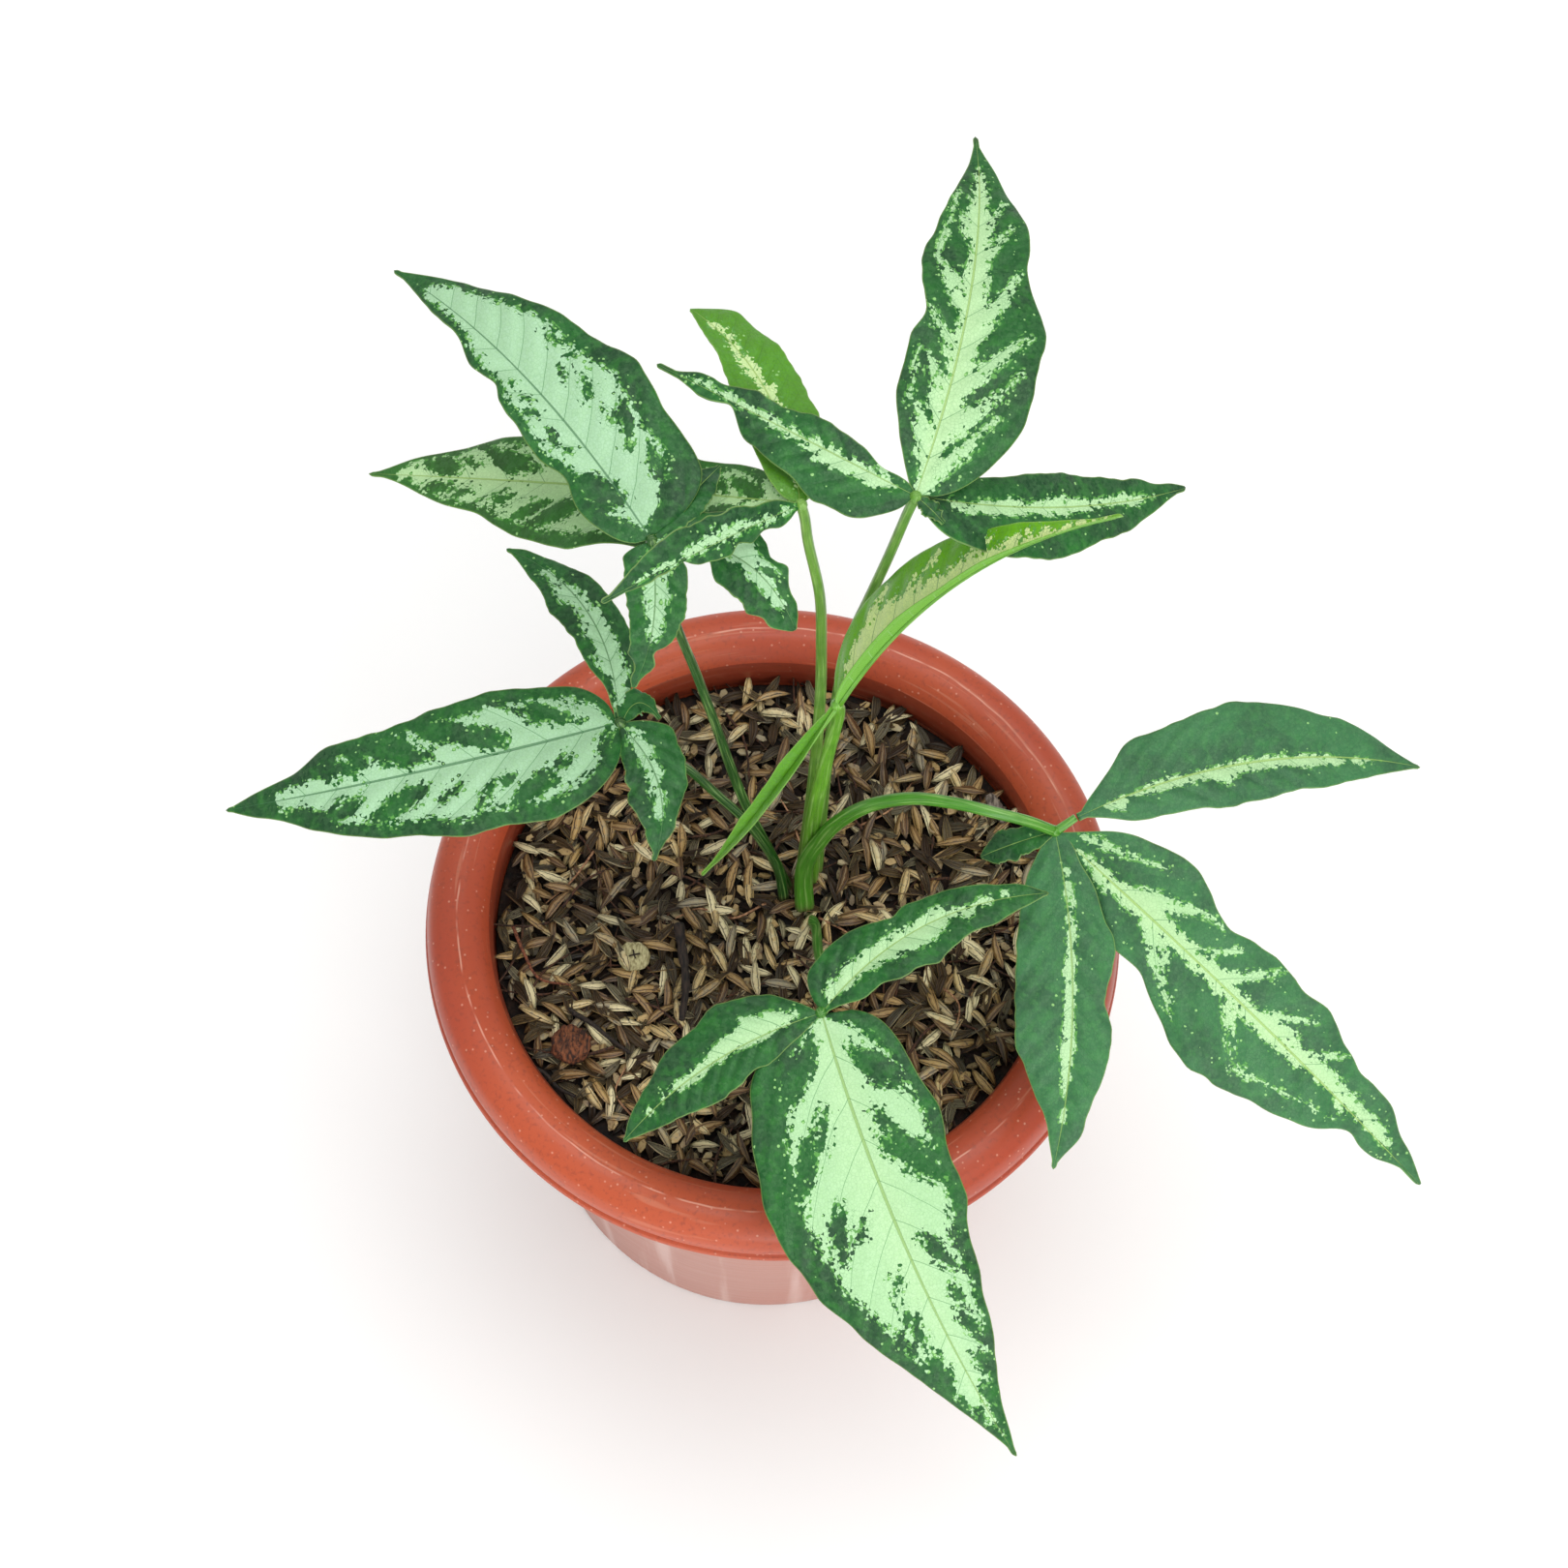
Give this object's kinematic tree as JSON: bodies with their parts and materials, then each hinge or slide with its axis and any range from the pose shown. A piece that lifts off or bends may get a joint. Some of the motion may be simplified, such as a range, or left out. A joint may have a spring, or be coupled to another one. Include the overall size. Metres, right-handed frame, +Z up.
{
  "type": "potted arrowhead plant",
  "caption": "Arrowhead plant with three-part variegated leaves on thin stalks, in a plastic pot with a rolled-over rim and husk-topped mix.",
  "frame": {"origin": "centre of the pot's foot, in the plane that it stands on", "axes": "+Z up along the pot's axis, -Y towards the front leaf that hangs over the rim, +X to its right"},
  "size_m": [0.2856, 0.2546, 0.3323],
  "materials": {
    "terracotta_plastic": "satin, lightly scratched, dusty",
    "rice_husk_mix": "rough, loose rice husks",
    "leaf_stalk": "smooth green stalk, satin",
    "variegated_leaf": "satin leaf, dark green with pale mint middle",
    "young_leaf": "satin leaf, bright yellow-green",
    "dry_wood": "dry, pale",
    "dark_twig": "rough bark",
    "grey_bark": "rough bark",
    "dry_clay": "matt, crumbly"
  },
  "bodies": {
    "root": {"pot": "terracotta_plastic", "soil": "rice_husk_mix", "stalks_main": "leaf_stalk", "stalks_side": "leaf_stalk", "blade_tall_left": "variegated_leaf", "blade_low_left": "variegated_leaf", "blade_tall_middle": "variegated_leaf", "blade_tall_right": "variegated_leaf", "blade_young": "young_leaf", "blade_low_right": "variegated_leaf", "blade_front": "variegated_leaf", "wood_disc": "dry_wood", "twig": "dark_twig", "bark_chip": "grey_bark", "clay_lump": "dry_clay"}
  },
  "joints": []
}
